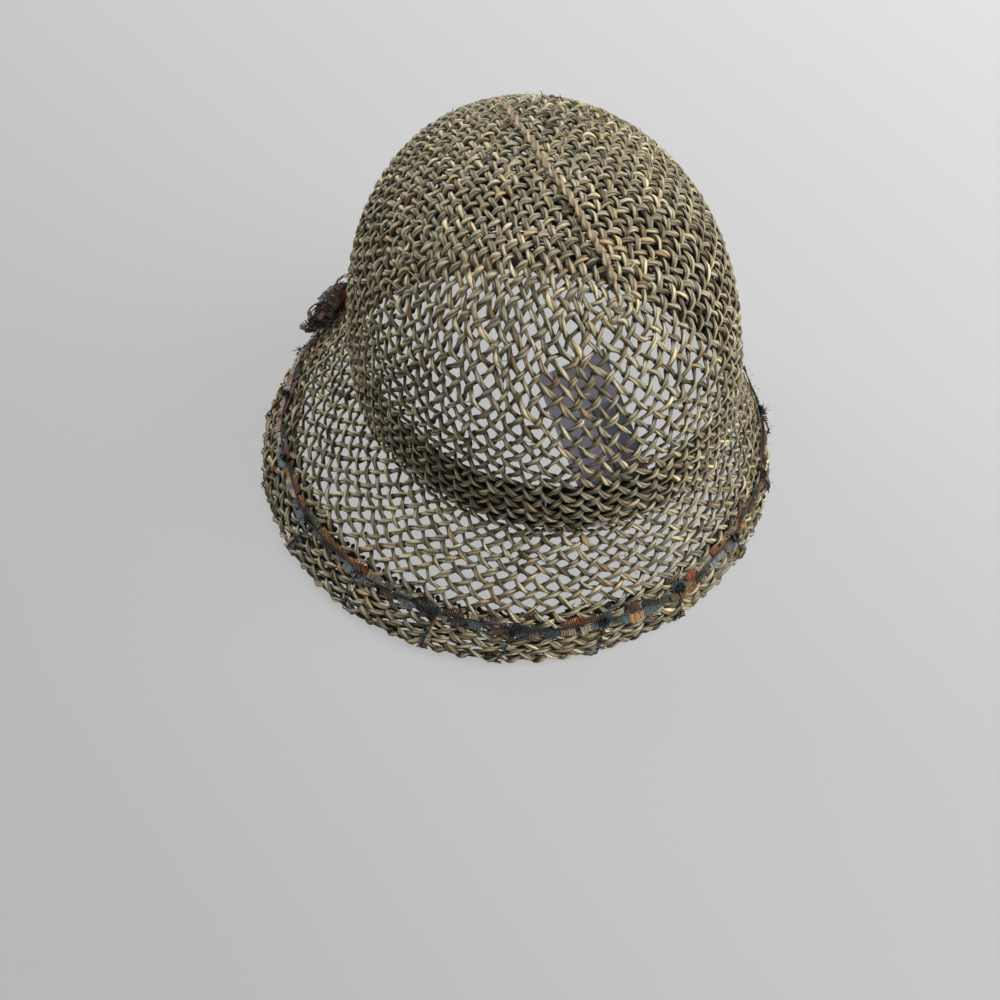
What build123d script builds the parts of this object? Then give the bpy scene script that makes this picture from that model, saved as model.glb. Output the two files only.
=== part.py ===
from build123d import *
import math
import os

# Woven cloche hat, millimetres, +Z up. The wearer faces -Y and their left side is +X.
# The origin is the centre of the brim's lower edge, which lies flat on the plane Z = 0.

# --- driving dimensions -----------------------------------------------------------------------
BRIM_HEIGHT = 45.0            # brim edge up to the crown's foot
CROWN_HEIGHT = 114.0          # crown's foot up to the top
CROWN_HALF_X = 86.0           # outer half width of the crown's foot, side to side
CROWN_HALF_Y = 104.0          # outer half length of the crown's foot, front to back
CROWN_SHIFT_X = -17.0         # crown centre from the brim centre: the brim is wide at the left
CROWN_SHIFT_Y = -5.0
EDGE_HALF_X = 119.0           # outer half width of the brim's edge
EDGE_HALF_Y = 125.0
CROWN_POWER = 2.5             # 2 is an ellipse, more is squarer
FLARE_POWER = 0.95            # 1 is a straight cone, less flares earlier
WEAVE = 3.5                   # thickness of one woven layer
HEM_HEIGHT = 16.0             # height of the turned-in edge
HEM_WALL = 7.6                # two layers measured level
BELOW = 4.0                   # how far the cutting blocks reach under the brim

GAP = 0.3                     # clearance between pieces that lie on one another

RIBBON_HEIGHT = 25.0          # sweatband
RIBBON_THICK = 0.7
RIBBON_FOOT = 2.0             # sweatband's lower edge above the crown's foot

LABEL_WIDTH = 30.0
LABEL_HEIGHT = 62.0
LABEL_THICK = 0.8             # folded double
LABEL_AZIMUTH = 92.0          # degrees round from +X: the back is at 90
LABEL_FOOT = 54.0             # height of its sewn edge
LABEL_STAND_OFF = 3.2         # middle of its sewn edge off the curved ribbon
LABEL_LEAN = 36.0             # degrees inward, under the dome
LABEL_TILT = 8.0              # degrees sideways, towards the wearer's left

THREAD_RADIUS = 0.25          # sewing thread
BAND_STITCHES = 60
BAND_STITCH_LENGTH = 5.0
BAND_STITCH_HEIGHT = 49.5
LABEL_STITCHES = 6
LABEL_STITCH_LENGTH = 1.8
LABEL_STITCH_DROP = 1.8       # stitches' top below the label's sewn edge

YARN_WIDE = 4.0               # ladder ribbon yarn
YARN_THICK = 1.2
TRIM_FOOT = 12.0              # running yarn's lower edge above the brim's edge
STITCH_COUNT = 19
STITCH_START = 13.0           # azimuth of the first leg, degrees
LEG_FOOT = 0.4                # leg's lower end above the brim's edge
LEG_HEAD = 1.3                # gap between a leg's upper end and the running yarn
LEG_WIDE = 3.2
KNOT_RADIUS = 1.8
KNOT_SIDES = 8
KNOT_BASE = 1.9               # off the brim, on top of the running yarn
KNOT_THICK = 2.2
KNOT_BEVEL = 0.5

TAIL_EVERY = 3                # one knot in three has a cut end beside it
TAIL_RISE = 2.0               # above the running yarn
TAIL_START = (2.0, 0.6, 1.2)  # across, up and off the brim
TAIL_END = (6.8, 4.2, 2.2)
TAIL_RADIUS = 0.6

ROSETTE_AZIMUTH = 311.0       # bunch of yarn at the wearer's front left
ROSETTE_HEIGHT = 23.0
ROSETTE_CLEAR = 15.0          # degrees each side of it that have no knots or tails
INNER_LOOPS = 6
INNER_LOOP = (4.5, 0.9)       # radius of the ring and of its yarn
INNER_LOOP_AT = (7.6, 6.4)    # centre: out from the middle, and off the brim
OUTER_LOOPS = 9
OUTER_LOOP = (4.0, 1.0)
OUTER_LOOP_AT = (17.5, 3.6)
CENTRE_KNOT = (1.9, 4.2)      # radius and height off the brim
TIE_TURNS = (30, 150, 270)    # threads that hold the middle down
TIE_REACH = 1.1
TIE_LENGTH = 1.6

STRAND_WIDE = 3.0             # loose pale strand on the crown
STRAND_THICK = 2.0
STRAND_BACK = (68.0, 98.0)    # level reach behind the crown's top, and its azimuth
STRAND_FRONT = (50.0, 272.0)  # the same ahead of it
THREAD_END_RADIUS = 0.35      # short dark thread at the top
THREAD_END_LENGTH = 7.0
THREAD_END_REACH = 35.0
THREAD_END_AZIMUTH = 250.0
THREAD_END_SLOPE = 2.5        # rise over run of its lean


# --- shape of the blocked hat ------------------------------------------------------------------
def brim_ellipse(z, outset):
    """Half axes and centre of the brim's outer face at height z, grown by outset."""
    drop = max(0.0, 1.0 - z / BRIM_HEIGHT)
    flare = drop ** FLARE_POWER
    half_x = CROWN_HALF_X + (EDGE_HALF_X - CROWN_HALF_X) * flare + outset
    half_y = CROWN_HALF_Y + (EDGE_HALF_Y - CROWN_HALF_Y) * flare + outset
    return half_x, half_y, CROWN_SHIFT_X * (1 - flare), CROWN_SHIFT_Y * (1 - flare)


def brim_point(azimuth, z, outset):
    """Point on the brim's outer face, pushed out level by outset."""
    half_x, half_y, shift_x, shift_y = brim_ellipse(z, outset)
    turn = math.radians(azimuth)
    return Vector(shift_x + half_x * math.cos(turn), shift_y + half_y * math.sin(turn), z)


def brim_block(z_low, z_high, outset, levels=5):
    """Solid of the brim's outline between two heights, lofted through ellipses."""
    sections = []
    for level in range(levels):
        z = z_low + (z_high - z_low) * level / (levels - 1)
        half_x, half_y, shift_x, shift_y = brim_ellipse(z, outset)
        plane = Plane(origin=(shift_x, shift_y, z))
        sections.append(plane * Ellipse(half_x, half_y))
    return loft(sections)


def crown_block(inset):
    """Solid dome of the crown's outline, shrunk by inset and standing on the crown's foot."""
    half_x, half_y = CROWN_HALF_X - inset, CROWN_HALF_Y - inset
    height = CROWN_HEIGHT - inset
    points = []
    steps = 12
    for step in range(steps + 1):
        turn = math.pi / 2 * step / steps
        radius = math.cos(turn) ** (2 / CROWN_POWER) if step < steps else 0.0
        points.append((radius * half_x, math.sin(turn) ** (2 / CROWN_POWER) * height))
    profile = Spline(*points, tangents=[(0, 1), (-1, 0)])
    outline = profile + Line(points[-1], (0, 0)) + Line((0, 0), points[0])
    dome = revolve(make_face(Plane.XZ * outline), Axis.Z)
    dome = scale(dome, by=(1, half_y / half_x, 1))
    return Pos(CROWN_SHIFT_X, CROWN_SHIFT_Y, BRIM_HEIGHT) * dome


def crown_radius(z, inset):
    """How much of its foot's width the crown still has at height z."""
    height = CROWN_HEIGHT - inset
    rise = (z - BRIM_HEIGHT) / height
    return (1 - rise ** CROWN_POWER) ** (1 / CROWN_POWER)


def crown_point(azimuth, z, inset):
    share = crown_radius(z, inset)
    turn = math.radians(azimuth)
    return Vector(
        CROWN_SHIFT_X + share * (CROWN_HALF_X - inset) * math.cos(turn),
        CROWN_SHIFT_Y + share * (CROWN_HALF_Y - inset) * math.sin(turn),
        z,
    )


def rod(start, end, radius):
    """Round bar from one point to another."""
    along = end - start
    plane = Plane(origin=start, z_dir=along)
    return plane * Cylinder(radius, along.length, align=(Align.CENTER, Align.CENTER, Align.MIN))


def brim_frame(azimuth, z):
    """Plane on the brim: x runs round it, y runs up it and z points out of it."""
    step = 0.5
    across = brim_point(azimuth + step, z, 0) - brim_point(azimuth - step, z, 0)
    up = brim_point(azimuth, z + step, 0) - brim_point(azimuth, z - step, 0)
    return Plane(origin=brim_point(azimuth, z, 0), x_dir=across, z_dir=across.cross(up))


# --- woven body ---------------------------------------------------------------------------------
def make_woven_body():
    """Crown and brim in one layer, with the edge turned in to make a second layer."""
    outside = crown_block(0) + brim_block(0, BRIM_HEIGHT, 0)
    inside = crown_block(WEAVE) + brim_block(HEM_HEIGHT, BRIM_HEIGHT, -WEAVE)
    hem_space = brim_block(-BELOW, HEM_HEIGHT, -HEM_WALL)
    return outside - inside - hem_space


def make_pale_strand():
    """Loose strand that lies over the crown, from ahead of its top down the back."""
    layer = crown_block(-GAP - STRAND_THICK) - crown_block(-GAP)
    place = Pos(CROWN_SHIFT_X, CROWN_SHIFT_Y, BRIM_HEIGHT + GAP + STRAND_THICK)
    slabs = []
    for reach, azimuth in (STRAND_BACK, STRAND_FRONT):
        slab = Box(reach, STRAND_WIDE, CROWN_HEIGHT, align=(Align.MIN, Align.CENTER, Align.MIN))
        slabs.append(place * Rot(0, 0, azimuth) * slab)
    return layer & (slabs[0] + slabs[1])


def make_thread_end():
    share = THREAD_END_REACH / CROWN_HALF_Y
    rise = (1 - share ** CROWN_POWER) ** (1 / CROWN_POWER)
    turn = math.radians(THREAD_END_AZIMUTH)
    foot = Vector(
        CROWN_SHIFT_X + share * CROWN_HALF_X * math.cos(turn),
        CROWN_SHIFT_Y + share * CROWN_HALF_Y * math.sin(turn),
        BRIM_HEIGHT + rise * CROWN_HEIGHT + GAP + THREAD_END_RADIUS,
    )
    lean = Vector(math.cos(turn), math.sin(turn), THREAD_END_SLOPE).normalized()
    return rod(foot, foot + lean * THREAD_END_LENGTH, THREAD_END_RADIUS)


# --- sweatband and label ------------------------------------------------------------------------
def make_sweatband():
    """Ribbon ring that follows the inside of the crown just above its foot."""
    outer = WEAVE + GAP
    layer = crown_block(outer) - crown_block(outer + RIBBON_THICK)
    slab = Box(400, 400, RIBBON_HEIGHT, align=(Align.CENTER, Align.CENTER, Align.MIN))
    return layer & (Pos(0, 0, BRIM_HEIGHT + RIBBON_FOOT) * slab)


def make_sweatband_stitches():
    """Running stitches on the ribbon's inner face, near its lower edge."""
    inset = WEAVE + GAP + RIBBON_THICK + THREAD_RADIUS + 0.1
    stitches = []
    for index in range(BAND_STITCHES):
        azimuth = 360 * index / BAND_STITCHES
        middle = crown_point(azimuth, BAND_STITCH_HEIGHT, inset)
        ahead = crown_point(azimuth + 1, BAND_STITCH_HEIGHT, inset)
        half = (ahead - middle).normalized() * (BAND_STITCH_LENGTH / 2)
        stitches.append(rod(middle - half, middle + half, THREAD_RADIUS))
    return stitches


def label_plane():
    """Plane of the label at its sewn edge: x along the edge, y up the label."""
    inset = WEAVE + GAP + RIBBON_THICK + LABEL_STAND_OFF
    foot = crown_point(LABEL_AZIMUTH, LABEL_FOOT, inset)
    before = crown_point(LABEL_AZIMUTH + 1, LABEL_FOOT, inset)
    after = crown_point(LABEL_AZIMUTH - 1, LABEL_FOOT, inset)
    edge = after - before
    upright = Plane(origin=foot, x_dir=edge, z_dir=edge.cross(Vector(0, 0, 1)))
    return upright * Rot(LABEL_LEAN, 0, 0) * Rot(0, 0, -LABEL_TILT)


def make_care_label():
    """Folded ribbon label that stands on the sweatband and leans in under the dome."""
    label = Box(LABEL_WIDTH, LABEL_HEIGHT, LABEL_THICK, align=(Align.CENTER, Align.MIN, Align.CENTER))
    label = fillet(label.edges().filter_by(Axis.Z).group_by(Axis.Y)[-1], 1.5)
    return label_plane() * label


def make_label_stitches():
    """Short stitches on the ribbon, just under the label's sewn edge."""
    inset = WEAVE + GAP + RIBBON_THICK + THREAD_RADIUS + 0.1
    pitch = math.degrees(LABEL_WIDTH / LABEL_STITCHES / (CROWN_HALF_Y - inset))
    stitches = []
    for index in range(LABEL_STITCHES):
        azimuth = LABEL_AZIMUTH + (index - (LABEL_STITCHES - 1) / 2) * pitch
        height = LABEL_FOOT - LABEL_STITCH_DROP
        top = crown_point(azimuth, height, inset)
        foot = crown_point(azimuth, height - LABEL_STITCH_LENGTH, inset)
        stitches.append(rod(foot, top, THREAD_RADIUS))
    return stitches


# --- blanket stitch of ladder yarn round the brim -----------------------------------------------
def make_running_yarn():
    """Yarn that runs round the brim above its edge and holds the hem."""
    z_high = TRIM_FOOT + YARN_WIDE
    band = brim_block(TRIM_FOOT, z_high, GAP + YARN_THICK, levels=3)
    return band - brim_block(TRIM_FOOT, z_high, GAP, levels=3)


def stitch_azimuths():
    return [(STITCH_START + 360 * index / STITCH_COUNT) % 360 for index in range(STITCH_COUNT)]


def open_stitch_azimuths():
    """Azimuths of the stitches that the rosette leaves uncovered."""
    return [turn for turn in stitch_azimuths() if abs(turn - ROSETTE_AZIMUTH) > ROSETTE_CLEAR]


def make_edge_legs():
    """Short flat lengths of yarn from the running yarn down to the brim's edge."""
    top = TRIM_FOOT - LEG_HEAD
    leg = Box(LEG_WIDE, top - LEG_FOOT, YARN_THICK)
    place = Pos(0, 0, GAP + YARN_THICK / 2)
    return [brim_frame(turn, (top + LEG_FOOT) / 2) * place * leg for turn in stitch_azimuths()]


def make_trim_knots():
    """Flattened knots on the running yarn, one at the head of each leg."""
    knot = extrude(RegularPolygon(KNOT_RADIUS, KNOT_SIDES), KNOT_THICK)
    knot = chamfer(knot.edges().group_by(Axis.Z)[-1], KNOT_BEVEL)
    height = TRIM_FOOT + YARN_WIDE / 2
    place = Pos(0, 0, KNOT_BASE)
    return [brim_frame(turn, height) * place * knot for turn in open_stitch_azimuths()]


def make_yarn_tails():
    """Cut ends that lie on the brim beside some of the knots, above the running yarn."""
    tails = []
    for azimuth in open_stitch_azimuths()[::TAIL_EVERY]:
        frame = brim_frame(azimuth, TRIM_FOOT + YARN_WIDE + TAIL_RISE)
        start = frame.from_local_coords(Vector(*TAIL_START))
        end = frame.from_local_coords(Vector(*TAIL_END))
        tails.append(rod(start, end, TAIL_RADIUS))
    return tails


# --- rosette --------------------------------------------------------------------------------------
def rosette_plane():
    return brim_frame(ROSETTE_AZIMUTH, ROSETTE_HEIGHT)


def make_inner_loops():
    """Loops that stand up round the middle like petals."""
    reach, lift = INNER_LOOP_AT
    ring = Rot(90, 0, 0) * Torus(*INNER_LOOP)
    turns = [360 * index / INNER_LOOPS for index in range(INNER_LOOPS)]
    return [rosette_plane() * Rot(0, 0, turn) * Pos(reach, 0, lift) * ring for turn in turns]


def make_outer_loops():
    """Loops that lie nearly flat on the brim round the inner ones."""
    reach, lift = OUTER_LOOP_AT
    ring = Torus(*OUTER_LOOP)
    turns = [360 * (index + 0.5) / OUTER_LOOPS for index in range(OUTER_LOOPS)]
    return [rosette_plane() * Rot(0, 0, turn) * Pos(reach, 0, lift) * ring for turn in turns]


def make_centre_knot():
    radius, height = CENTRE_KNOT
    return rosette_plane() * Pos(0, 0, height) * Sphere(radius)


def make_rosette_stitches():
    """Threads that tie the middle of the rosette down to the brim."""
    thread = Cylinder(THREAD_RADIUS, TIE_LENGTH, align=(Align.CENTER, Align.CENTER, Align.MIN))
    place = Pos(TIE_REACH, 0, GAP)
    return [rosette_plane() * Rot(0, 0, turn) * place * thread for turn in TIE_TURNS]


# --- write one file for each piece ----------------------------------------------------------------
PIECES = {
    "woven_body": make_woven_body,
    "crown_pale_strand": make_pale_strand,
    "crown_thread_end": make_thread_end,
    "sweatband": make_sweatband,
    "sweatband_stitches": make_sweatband_stitches,
    "care_label": make_care_label,
    "label_stitches": make_label_stitches,
    "trim_running_yarn": make_running_yarn,
    "trim_edge_legs": make_edge_legs,
    "trim_knots": make_trim_knots,
    "trim_yarn_tails": make_yarn_tails,
    "rosette_outer_loops": make_outer_loops,
    "rosette_inner_loops": make_inner_loops,
    "rosette_centre_knot": make_centre_knot,
    "rosette_stitches": make_rosette_stitches,
}


def main():
    os.makedirs("parts", exist_ok=True)
    for name, make in PIECES.items():
        piece = make()
        solids = piece if isinstance(piece, list) else piece.solids()
        shape = solids[0] if len(solids) == 1 else Compound(children=solids)
        export_step(shape, f"parts/{name}.step")
    hinge = Plane(label_plane())
    print("label hinge at", hinge.origin, "along", hinge.x_dir)


main()
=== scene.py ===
import math

import bpy
import numpy as np
from mathutils import Matrix, Vector


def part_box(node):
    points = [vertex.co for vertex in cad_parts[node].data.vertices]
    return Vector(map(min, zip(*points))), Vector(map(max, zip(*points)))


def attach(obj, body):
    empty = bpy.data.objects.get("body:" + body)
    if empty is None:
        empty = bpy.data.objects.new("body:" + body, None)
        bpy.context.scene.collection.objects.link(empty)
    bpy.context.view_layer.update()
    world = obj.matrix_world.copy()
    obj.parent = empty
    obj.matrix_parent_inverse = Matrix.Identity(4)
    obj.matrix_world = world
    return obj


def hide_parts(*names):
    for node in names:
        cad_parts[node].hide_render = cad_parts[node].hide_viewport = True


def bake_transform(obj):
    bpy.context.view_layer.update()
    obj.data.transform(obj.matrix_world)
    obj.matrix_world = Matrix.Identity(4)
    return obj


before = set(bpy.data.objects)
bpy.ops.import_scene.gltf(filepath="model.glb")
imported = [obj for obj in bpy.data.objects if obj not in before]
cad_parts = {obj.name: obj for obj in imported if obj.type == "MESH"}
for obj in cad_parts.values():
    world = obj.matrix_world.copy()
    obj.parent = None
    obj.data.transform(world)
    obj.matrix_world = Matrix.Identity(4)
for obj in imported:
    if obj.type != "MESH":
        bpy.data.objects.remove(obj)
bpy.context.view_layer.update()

# ---- Sizes, in metres. Places come from the frame: the brim's edge from the woven body's box, and the
# head opening from the sweatband's.
MM = 0.001
body_low, body_high = (np.array(corner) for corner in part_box("woven_body"))
band_low, band_high = (np.array(corner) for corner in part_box("sweatband"))

EDGE_HALF = (body_high - body_low)[:2] / 2  # brim's edge
EDGE_CENTRE = (body_high + body_low)[:2] / 2
RIBBON_FACE = 3.8 * MM  # crown's outer face to the ribbon's
CROWN_CENTRE = (band_high + band_low)[:2] / 2
CROWN_HALF = (band_high - band_low)[:2] / 2 + RIBBON_FACE
CROWN_FOOT = band_low[2] - 2 * MM  # where the crown meets the brim
CROWN_RISE = body_high[2] - CROWN_FOOT
CROWN_POWER = 2.5
FLARE_POWER = 0.95

LAYER = 3.5 * MM  # one woven layer
HEM_RADIUS = 1.7 * MM  # fold at the brim's edge
HEM_RISE = 12.0 * MM  # turned-in part
HEM_TOP = 16.0 * MM  # where the close weave of the hem starts
HEM_CROWD = 1.75  # how much closer its rows are
EDGE_ROUND = HEM_RADIUS + LAYER / 2  # outside of that fold
EDGE_ROLL = 2.2 * MM  # how far the rolled edge swells out
ROLL_TOP = 15 * MM

FACE_HALF = 18  # half cells in half a side of the top square
TOP_TURN = math.radians(53)  # which way the top square faces
STRAND_WIDE = 3.0 * MM
RANDOM_SEED = 7
MEAN_RADIUS = CROWN_HALF.mean() - LAYER / 2  # middle layer at the crown's foot
CROWN_STEPS, BRIM_STEPS = 400, 160  # rows of the slope table


# ---- Blocked shape: a point of the hat's outer face, or of a layer under it, from azimuth and height
def outer_oval(z):
    """Half axes and centre of the outer face's oval at each height z."""
    z = z[:, None]
    rise = np.clip((z - CROWN_FOOT) / CROWN_RISE, 0.0, 1.0)
    share = np.maximum(1 - rise ** CROWN_POWER, 0.0) ** (1 / CROWN_POWER)
    flare = np.clip(1 - z / CROWN_FOOT, 0.0, 1.2) ** FLARE_POWER
    roll = EDGE_ROLL * np.clip(1 - z / ROLL_TOP, 0, 0.8) ** 0.8
    half = CROWN_HALF * share + (EDGE_HALF - CROWN_HALF) * flare + roll
    return half, CROWN_CENTRE + (EDGE_CENTRE - CROWN_CENTRE) * flare


def on_oval(half, centre, azimuth, z):
    """Points at each azimuth and height, on ovals with those half axes and centres."""
    return np.column_stack([centre + half * np.stack([np.cos(azimuth), np.sin(azimuth)], -1), z])


def outer_point(azimuth, z, outset=0.0):
    half, centre = outer_oval(z)
    return on_oval(half + outset, centre, azimuth, z)


def build_profile():
    """Table of the weave's middle layer along its slope: distance, mean radius, height, and how far
    it lies inside the outer face. It goes from the crown's top to the hem's turned-in edge."""
    turn = np.linspace(np.pi / 2, 0, CROWN_STEPS)
    share = np.cos(turn) ** (2 / CROWN_POWER)
    share[0] = 0
    crown_z = CROWN_FOOT + (CROWN_RISE - LAYER / 2) * np.sin(turn) ** (2 / CROWN_POWER)
    brim_z = np.linspace(CROWN_FOOT, EDGE_ROUND, BRIM_STEPS)[1:]
    fold = np.linspace(0, np.pi, 24)[1:]
    hem_z = EDGE_ROUND + np.linspace(0, HEM_RISE, 20)[1:]
    z = np.concatenate([crown_z, brim_z, EDGE_ROUND - HEM_RADIUS * np.sin(fold), hem_z])
    inset = np.concatenate([
        np.full(len(crown_z) + len(brim_z), LAYER / 2),
        LAYER / 2 + HEM_RADIUS * (1 - np.cos(fold)),
        np.full(len(hem_z), LAYER / 2 + 2 * HEM_RADIUS),
    ])
    half, _ = outer_oval(z)
    radius = (half[:, 0] + half[:, 1]) / 2 - inset
    radius[:CROWN_STEPS] = MEAN_RADIUS * share
    along = np.concatenate([[0], np.cumsum(np.hypot(np.diff(radius), np.diff(z)))])
    return along, radius, z, inset


ALONG, RADIUS, HEIGHT, INSET = build_profile()
SLOPE_LENGTH = ALONG[-1]
ON_BRIM = slice(CROWN_STEPS, CROWN_STEPS + BRIM_STEPS - 1)
HEM_START = np.interp(-HEM_TOP, -HEIGHT[ON_BRIM], ALONG[ON_BRIM])


def weave_point(uv, open_hem=False):
    """Point of the weave's middle layer. uv is flat polar: its length is the distance from the
    crown's top down the slope, and its direction the azimuth. An open hem hangs straight down, drawn
    out so that its rows settle closer."""
    rho = np.hypot(uv[:, 0], uv[:, 1])
    azimuth = np.arctan2(uv[:, 1], uv[:, 0])
    rho = np.clip(rho, 1e-9, SLOPE_LENGTH)
    hang = np.maximum(rho - HEM_START, 0) * HEM_CROWD if open_hem else 0
    rho = np.minimum(rho, HEM_START) if open_hem else rho
    radius = np.interp(rho, ALONG, RADIUS)
    z = np.interp(rho, ALONG, HEIGHT)
    half, centre = outer_oval(z)
    on_crown = z[:, None] >= CROWN_FOOT - 1e-9
    crown_half = radius[:, None] * (CROWN_HALF - LAYER / 2) / MEAN_RADIUS
    half = np.where(on_crown, crown_half, half - np.interp(rho, ALONG, INSET)[:, None])
    return on_oval(half, centre, azimuth, z - hang)


def weave_frame(uv, open_hem=False):
    """Point, outward normal and the two slopes of the weave's middle layer."""
    step = 0.2 * MM
    point = weave_point(uv, open_hem)
    right, left = (weave_point(uv + [move, 0], open_hem) for move in (step, -step))
    ahead, behind = (weave_point(uv + [0, move], open_hem) for move in (step, -step))
    slope_u, slope_v = (right - left) / (2 * step), (ahead - behind) / (2 * step)
    normal = np.cross(slope_u, slope_v)
    normal /= np.linalg.norm(normal, axis=1, keepdims=True)
    return point, normal, slope_u, slope_v


# ---- The net of crossings. The top is a square of plain weave laid flat on the crown. Its four sides
# carry on down as one tube of the same strands, so four corners have three-sided holes.
ROWS = 58  # rows of crossings from the top square down
RING = 8 * FACE_HALF  # half cells round the tube
EVEN_ROW = 14  # row where the strands are even round the tube
# Spacing of the crossings at some distances down the slope from the crown's top
SPACING_AT = np.array([0, 50, 75, 100, 150, 240]) * MM
SPACING = np.array([4.1, 4.4, 5.8, 6.2, 5.0, 4.5]) * MM
ROUNDS, STRIDE = 700, 1.6  # how the crossings settle
TENSION, UNEVEN = 0.12, 0.2  # pull of every strand, and how much the spacings differ


def ring_to_top(place):
    """Half-cell corner of the top square at a place round its edge."""
    side, step = divmod(place % RING, 2 * FACE_HALF)
    reach = step - FACE_HALF
    return [(reach, -FACE_HALF), (FACE_HALF, reach), (-reach, FACE_HALF), (-FACE_HALF, -reach)][side]


def build_crossings():
    """Lists every crossing, and finds each by its top square place or its side place."""
    top, side, start = {}, {}, []
    slope = np.linspace(0, SLOPE_LENGTH, 400)
    crowd = np.where(slope > HEM_START, HEM_CROWD, 1.0) / np.interp(slope, SPACING_AT, SPACING)
    rows_above = np.cumsum(crowd)
    cell = SPACING[0] / math.sqrt(2)
    for x in range(-FACE_HALF, FACE_HALF + 1):
        for y in range(-FACE_HALF, FACE_HALF + 1):
            if (x + y) % 2:
                top[x, y] = len(start)
                start.append((x * cell, y * cell))
    for row in range(ROWS + 1):
        for place in range(RING):
            if (place + row) % 2 == 0:
                continue
            x, y = ring_to_top(place)
            if row == 0:
                side[place, 0] = top[x, y]
                continue
            even = 2 * math.pi * place / RING - 0.75 * math.pi
            bend = math.atan2(y, x)
            turn = bend + (even - bend + math.pi) % (2 * math.pi) - math.pi
            mix = min(1.0, row / EVEN_ROW)
            azimuth = bend * (1 - mix) + turn * mix
            edge = cell * math.hypot(x, y)
            first = np.interp(edge, slope, rows_above)
            share = first + (rows_above[-1] - first) * row / ROWS
            reach = np.interp(share, rows_above, slope)
            side[place, row] = len(start)
            start.append((reach * math.cos(azimuth), reach * math.sin(azimuth)))
    return top, side, np.array(start)


def step_down(x, y, dx, dy):
    """Side place and step of a strand that leaves the top square at (x, y)."""
    if y == -FACE_HALF and dy < 0:
        return x + FACE_HALF, dx
    if x == FACE_HALF and dx > 0:
        return y + 3 * FACE_HALF, dy
    if y == FACE_HALF and dy > 0:
        return 5 * FACE_HALF - x, -dx
    return 7 * FACE_HALF - y, -dy


def trace_strand(top, side, place, step):
    """Crossings of the strand that goes up from the bottom row, and whether it is on the outside."""
    path, over, row = [], [], ROWS
    while row > 0:
        path.append(side[place % RING, row])
        over.append((place % 2 == 0) == (step < 0))
        place, row = place + step, row - 1
    place %= RING
    x, y = ring_to_top(place)
    face = place // (2 * FACE_HALF)
    inward = [(0, 1), (-1, 0), (0, -1), (1, 0)][face]
    along = [(1, 0), (0, 1), (-1, 0), (0, -1)][face]
    dx, dy = inward[0] + step * along[0], inward[1] + step * along[1]
    while max(abs(x), abs(y)) <= FACE_HALF:
        path.append(top[x, y])
        over.append(((x + FACE_HALF) % 2 == 0) == (dx * dy < 0))
        last = (x, y)
        x, y = x + dx, y + dy
    place, step = step_down(*last, dx, dy)
    for row in range(1, ROWS + 1):
        place += step
        path.append(side[place % RING, row])
        over.append((place % 2 == 0) == (step > 0))
    return path, over


def build_strands(top, side):
    strands, seen = [], set()
    for place in range(RING):
        if (place + ROWS) % 2 == 0:
            continue
        for step in (1, -1):
            path, over = trace_strand(top, side, place, step)
            ends = frozenset([(path[0], path[1]), (path[-1], path[-2])])
            if ends not in seen:
                seen.add(ends)
                strands.append((np.array(path), np.array(over)))
    return strands


def relax_net(uv, strands, bottom):
    """Lets the crossings settle on the blocked shape as evenly as their spacings allow."""
    rng = np.random.default_rng(RANDOM_SEED)
    first = np.concatenate([path[:-1] for path, _ in strands])
    second = np.concatenate([path[1:] for path, _ in strands])
    loose = 1 + UNEVEN * rng.standard_normal(len(first)).clip(-2, 2)
    count = np.bincount(first, minlength=len(uv)) + np.bincount(second, minlength=len(uv))
    for _ in range(ROUNDS):
        point, _, slope_u, slope_v = weave_frame(uv, open_hem=True)
        gap = point[second] - point[first]
        length = np.linalg.norm(gap, axis=1)
        rho = np.hypot(*((uv[first] + uv[second]) / 2).T)
        rest = np.interp(rho, SPACING_AT, SPACING) * loose
        pull = gap * (0.5 * (length - rest) / length + TENSION)[:, None]
        force = np.zeros_like(point)
        for axis in range(3):
            force[:, axis] = (np.bincount(first, pull[:, axis], len(uv))
                              - np.bincount(second, pull[:, axis], len(uv)))
        force /= count[:, None] / STRIDE
        uu, uv_dot, vv = ((slope_u ** 2).sum(1), (slope_u * slope_v).sum(1), (slope_v ** 2).sum(1))
        fu, fv = (force * slope_u).sum(1), (force * slope_v).sum(1)
        det = uu * vv - uv_dot ** 2
        uv = uv + np.stack([(vv * fu - uv_dot * fv) / det, (uu * fv - uv_dot * fu) / det], -1)
        rho = np.hypot(uv[:, 0], uv[:, 1])
        limit = np.where(bottom, SLOPE_LENGTH, np.minimum(rho, SLOPE_LENGTH - 0.5 * MM))
        uv *= (limit / np.maximum(rho, 1e-9))[:, None]
    return uv


def turn_flat(points, angle):
    """Points turned about the origin in their first two coordinates."""
    cos, sin = math.cos(angle), math.sin(angle)
    x, y = points[:, 0], points[:, 1]
    return np.column_stack([x * cos - y * sin, x * sin + y * cos, points[:, 2:]])


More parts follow.
